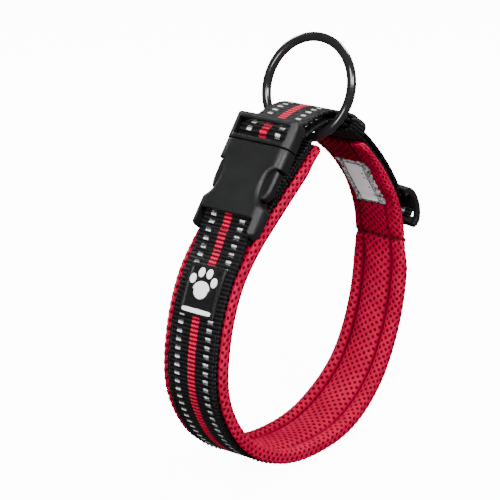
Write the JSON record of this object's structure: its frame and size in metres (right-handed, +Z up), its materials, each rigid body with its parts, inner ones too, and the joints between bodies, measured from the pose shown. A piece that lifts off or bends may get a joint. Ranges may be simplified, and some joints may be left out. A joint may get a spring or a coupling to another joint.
{
  "type": "adjustable padded dog collar",
  "caption": "Adjustable webbing dog collar with a mesh-covered pad, side-release buckle, leash ring, strap slider and strap keeper.",
  "frame": {"origin": "middle of the neck opening", "axes": "+X across the strap, +Y from the buckle side to the back, +Z up through the leash ring"},
  "size_m": [0.046, 0.1447, 0.1788],
  "materials": {
    "webbing": "matte woven",
    "mesh": "open knit",
    "foam": "soft",
    "buckle": "fine grain",
    "ring": "gloss",
    "patch": "matte",
    "print": "matte",
    "label": "woven",
    "label_panel": "woven",
    "thread": "matte"
  },
  "bodies": {
    "collar": {"pad_outer_mesh": "mesh", "pad_foam": "foam", "pad_inner_mesh": "mesh", "strap_sewn": "webbing", "strap_front_tongue": "webbing", "strap_socket_fold": "webbing", "female_housing": "buckle", "strap_inner_layer": "webbing", "strap_outer_layer": "webbing", "patch_base": "patch", "patch_paw_pad": "print", "patch_paw_toe_1": "print", "patch_paw_toe_2": "print", "patch_paw_toe_3": "print", "patch_paw_toe_4": "print", "patch_bar": "print", "label_base": "label", "label_panel": "label_panel", "seam_back": "thread", "seam_buckle": "thread", "seam_far": "thread", "seam_near": "thread"},
    "plug": {"male_frame": "buckle", "male_guide": "buckle", "strap_plug_fold": "webbing"},
    "prong_right": {"prong_right": "buckle"},
    "prong_left": {"prong_left": "buckle"},
    "ring": {"leash_ring": "ring"},
    "slider": {"slider_frame": "buckle", "strap_slider_fold": "webbing"},
    "keeper": {"strap_keeper": "buckle"}
  },
  "joints": [
    {"name": "buckle_release", "type": "slide", "parent": "collar", "child": "plug", "axis": [0, 0.6293, 0.7771], "range_m": [0, 0.024], "deforming": ["strap_inner_layer", "strap_outer_layer", "prong_right", "prong_left"]},
    {"name": "prong_right_squeeze", "type": "hinge", "parent": "plug", "child": "prong_right", "pos_m": [0.011, -0.02626, 0.06889], "axis": [0, 0.7771, -0.6293], "range_deg": [0, 6], "stiffness_Nm_per_rad": 0.02},
    {"name": "prong_left_squeeze", "type": "hinge", "parent": "plug", "child": "prong_left", "pos_m": [-0.011, -0.02626, 0.06889], "axis": [0, -0.7771, 0.6293], "range_deg": [0, 6], "stiffness_Nm_per_rad": 0.02},
    {"name": "ring_swing", "type": "hinge", "parent": "collar", "child": "ring", "pos_m": [0, -0.001, 0.0695], "axis": [-1, 0, 0], "range_deg": [-81, 14]},
    {"name": "slider_travel", "type": "hinge", "parent": "collar", "child": "slider", "pos_m": [0, 0.008, 0.012], "axis": [0.9806, -0.1961, 0], "range_deg": [-4, 4]},
    {"name": "keeper_travel", "type": "slide", "parent": "collar", "child": "keeper", "axis": [0, 0.8241, -0.5664], "range_m": [-0.004, 0.0015]}
  ],
  "couplings": [
    {"joint": "prong_left_squeeze", "follows": "prong_right_squeeze", "ratio": 1}
  ]
}
